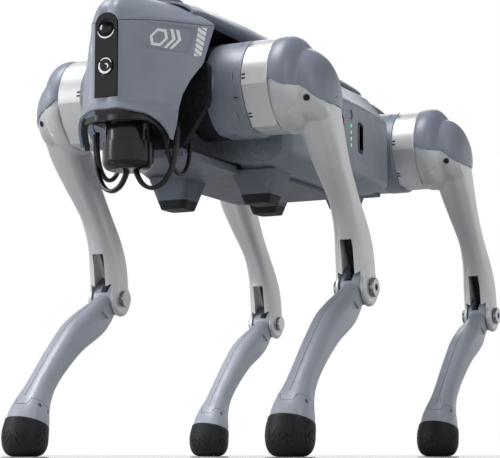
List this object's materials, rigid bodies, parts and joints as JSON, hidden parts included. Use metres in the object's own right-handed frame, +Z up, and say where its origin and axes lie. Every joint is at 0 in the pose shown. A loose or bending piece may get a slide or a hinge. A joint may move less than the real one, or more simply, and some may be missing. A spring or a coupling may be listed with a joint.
{
  "type": "quadruped robot",
  "caption": "Four-legged walking robot with powered hips, thighs and rod-driven knees, a sensor head, a caged lidar and a slide-out battery.",
  "frame": {"origin": "on the ground below the middle of the whole robot, standing", "axes": "+X forward to the head, +Y to the robot's left, +Z up"},
  "size_m": [0.6607, 0.33, 0.4411],
  "materials": {
    "body_grey": "moulded blue-grey plastic, satin",
    "cap_grey": "moulded blue-grey plastic, satin",
    "calf_grey": "moulded blue-grey plastic, satin",
    "belly_grey": "moulded dark grey plastic",
    "motor_silver": "pale silver paint on aluminium",
    "thigh_silver": "silver paint on aluminium",
    "dark_metal": "dark anodised aluminium",
    "black_metal": "black coated metal",
    "steel": "machined steel",
    "gloss_black": "polished black",
    "lens_black": "coated lens",
    "cage_black": "black nylon",
    "black_rubber": "moulded rubber"
  },
  "bodies": {
    "trunk": {"trunk_shell": "body_grey", "chassis": "black_metal", "roll_motors": "dark_metal", "belly_plate": "belly_grey", "stub_pads": "black_rubber", "head_shell": "body_grey", "head_window": "gloss_black", "camera_lenses": "lens_black", "head_crown": "body_grey", "top_cover": "body_grey", "antenna_puck": "belly_grey", "lidar_housing": "gloss_black", "lidar_cage": "cage_black"},
    "battery": {"battery_pack": "body_grey"},
    "button": {"power_button": "cap_grey"},
    "lidar_drum": {"lidar_rotor": "gloss_black"},
    "front_left_hip": {"front_left_thigh_motor": "dark_metal", "front_left_hip_bracket": "body_grey"},
    "front_left_thigh": {"front_left_motor_ring": "cap_grey", "front_left_knee_motor": "motor_silver", "front_left_thigh_shell": "thigh_silver", "front_left_shoulder_cap": "cap_grey", "front_left_knee_pin": "steel"},
    "front_left_crank": {"front_left_knee_crank": "steel"},
    "front_left_rod": {"front_left_knee_rod": "black_metal"},
    "front_left_calf": {"front_left_calf": "calf_grey", "front_left_foot_pad": "black_rubber"},
    "front_right_hip": {"front_right_thigh_motor": "dark_metal", "front_right_hip_bracket": "body_grey"},
    "front_right_thigh": {"front_right_motor_ring": "cap_grey", "front_right_knee_motor": "motor_silver", "front_right_thigh_shell": "thigh_silver", "front_right_shoulder_cap": "cap_grey", "front_right_knee_pin": "steel"},
    "front_right_crank": {"front_right_knee_crank": "steel"},
    "front_right_rod": {"front_right_knee_rod": "black_metal"},
    "front_right_calf": {"front_right_calf": "calf_grey", "front_right_foot_pad": "black_rubber"},
    "rear_left_hip": {"rear_left_thigh_motor": "dark_metal", "rear_left_hip_bracket": "body_grey"},
    "rear_left_thigh": {"rear_left_motor_ring": "cap_grey", "rear_left_knee_motor": "motor_silver", "rear_left_thigh_shell": "thigh_silver", "rear_left_shoulder_cap": "cap_grey", "rear_left_knee_pin": "steel"},
    "rear_left_crank": {"rear_left_knee_crank": "steel"},
    "rear_left_rod": {"rear_left_knee_rod": "black_metal"},
    "rear_left_calf": {"rear_left_calf": "calf_grey", "rear_left_foot_pad": "black_rubber"},
    "rear_right_hip": {"rear_right_thigh_motor": "dark_metal", "rear_right_hip_bracket": "body_grey"},
    "rear_right_thigh": {"rear_right_motor_ring": "cap_grey", "rear_right_knee_motor": "motor_silver", "rear_right_thigh_shell": "thigh_silver", "rear_right_shoulder_cap": "cap_grey", "rear_right_knee_pin": "steel"},
    "rear_right_crank": {"rear_right_knee_crank": "steel"},
    "rear_right_rod": {"rear_right_knee_rod": "black_metal"},
    "rear_right_calf": {"rear_right_calf": "calf_grey", "rear_right_foot_pad": "black_rubber"}
  },
  "joints": [
    {"name": "battery_slide", "type": "slide", "parent": "trunk", "child": "battery", "axis": [0, -1, 0], "range_m": [-0.17, 0]},
    {"name": "button_press", "type": "slide", "parent": "battery", "child": "button", "axis": [0, -1, 0], "range_m": [0, 0.001], "stiffness_N_per_m": 600},
    {"name": "lidar_spin", "type": "hinge", "parent": "trunk", "child": "lidar_drum", "pos_m": [0.283, 0, 0.275], "axis": [0, 0, 1], "continuous": true},
    {"name": "front_left_hip_roll", "type": "hinge", "parent": "trunk", "child": "front_left_hip", "pos_m": [0.1794, 0.0465, 0.352], "axis": [1, 0, 0], "range_deg": [-35, 35]},
    {"name": "front_left_thigh_swing", "type": "hinge", "parent": "front_left_hip", "child": "front_left_thigh", "pos_m": [0.1794, 0.084, 0.352], "axis": [0, 1, 0], "range_deg": [-110, 60]},
    {"name": "front_left_knee_bend", "type": "hinge", "parent": "front_left_thigh", "child": "front_left_calf", "pos_m": [0.07614, 0.142, 0.16571], "axis": [0, 1, 0], "range_deg": [-65, 25]},
    {"name": "front_left_crank_turn", "type": "hinge", "parent": "front_left_thigh", "child": "front_left_crank", "pos_m": [0.1794, 0.12, 0.352], "axis": [0, 1, 0], "range_deg": [-66, 26]},
    {"name": "front_left_rod_tilt", "type": "hinge", "parent": "front_left_crank", "child": "front_left_rod", "pos_m": [0.17282, 0.1395, 0.36548], "axis": [0, 1, 0], "range_deg": [-26, 66]},
    {"name": "front_right_hip_roll", "type": "hinge", "parent": "trunk", "child": "front_right_hip", "pos_m": [0.1794, -0.0465, 0.352], "axis": [1, 0, 0], "range_deg": [-35, 35]},
    {"name": "front_right_thigh_swing", "type": "hinge", "parent": "front_right_hip", "child": "front_right_thigh", "pos_m": [0.1794, -0.084, 0.352], "axis": [0, 1, 0], "range_deg": [-110, 60]},
    {"name": "front_right_knee_bend", "type": "hinge", "parent": "front_right_thigh", "child": "front_right_calf", "pos_m": [0.07614, -0.142, 0.16571], "axis": [0, 1, 0], "range_deg": [-65, 25]},
    {"name": "front_right_crank_turn", "type": "hinge", "parent": "front_right_thigh", "child": "front_right_crank", "pos_m": [0.1794, -0.12, 0.352], "axis": [0, 1, 0], "range_deg": [-66, 26]},
    {"name": "front_right_rod_tilt", "type": "hinge", "parent": "front_right_crank", "child": "front_right_rod", "pos_m": [0.17282, -0.1395, 0.36548], "axis": [0, 1, 0], "range_deg": [-26, 66]},
    {"name": "rear_left_hip_roll", "type": "hinge", "parent": "trunk", "child": "rear_left_hip", "pos_m": [-0.2074, 0.0465, 0.352], "axis": [1, 0, 0], "range_deg": [-35, 35]},
    {"name": "rear_left_thigh_swing", "type": "hinge", "parent": "rear_left_hip", "child": "rear_left_thigh", "pos_m": [-0.2074, 0.084, 0.352], "axis": [0, 1, 0], "range_deg": [-30, 110]},
    {"name": "rear_left_knee_bend", "type": "hinge", "parent": "rear_left_thigh", "child": "rear_left_calf", "pos_m": [-0.31066, 0.142, 0.16571], "axis": [0, 1, 0], "range_deg": [-65, 25]},
    {"name": "rear_left_crank_turn", "type": "hinge", "parent": "rear_left_thigh", "child": "rear_left_crank", "pos_m": [-0.2074, 0.12, 0.352], "axis": [0, 1, 0], "range_deg": [-66, 26]},
    {"name": "rear_left_rod_tilt", "type": "hinge", "parent": "rear_left_crank", "child": "rear_left_rod", "pos_m": [-0.21398, 0.1395, 0.36548], "axis": [0, 1, 0], "range_deg": [-26, 66]},
    {"name": "rear_right_hip_roll", "type": "hinge", "parent": "trunk", "child": "rear_right_hip", "pos_m": [-0.2074, -0.0465, 0.352], "axis": [1, 0, 0], "range_deg": [-35, 35]},
    {"name": "rear_right_thigh_swing", "type": "hinge", "parent": "rear_right_hip", "child": "rear_right_thigh", "pos_m": [-0.2074, -0.084, 0.352], "axis": [0, 1, 0], "range_deg": [-30, 110]},
    {"name": "rear_right_knee_bend", "type": "hinge", "parent": "rear_right_thigh", "child": "rear_right_calf", "pos_m": [-0.31066, -0.142, 0.16571], "axis": [0, 1, 0], "range_deg": [-65, 25]},
    {"name": "rear_right_crank_turn", "type": "hinge", "parent": "rear_right_thigh", "child": "rear_right_crank", "pos_m": [-0.2074, -0.12, 0.352], "axis": [0, 1, 0], "range_deg": [-66, 26]},
    {"name": "rear_right_rod_tilt", "type": "hinge", "parent": "rear_right_crank", "child": "rear_right_rod", "pos_m": [-0.21398, -0.1395, 0.36548], "axis": [0, 1, 0], "range_deg": [-26, 66]}
  ],
  "couplings": [
    {"joint": "front_left_crank_turn", "follows": "front_left_knee_bend", "ratio": 1},
    {"joint": "front_left_rod_tilt", "follows": "front_left_knee_bend", "ratio": -1},
    {"joint": "front_right_crank_turn", "follows": "front_right_knee_bend", "ratio": 1},
    {"joint": "front_right_rod_tilt", "follows": "front_right_knee_bend", "ratio": -1},
    {"joint": "rear_left_crank_turn", "follows": "rear_left_knee_bend", "ratio": 1},
    {"joint": "rear_left_rod_tilt", "follows": "rear_left_knee_bend", "ratio": -1},
    {"joint": "rear_right_crank_turn", "follows": "rear_right_knee_bend", "ratio": 1},
    {"joint": "rear_right_rod_tilt", "follows": "rear_right_knee_bend", "ratio": -1}
  ]
}
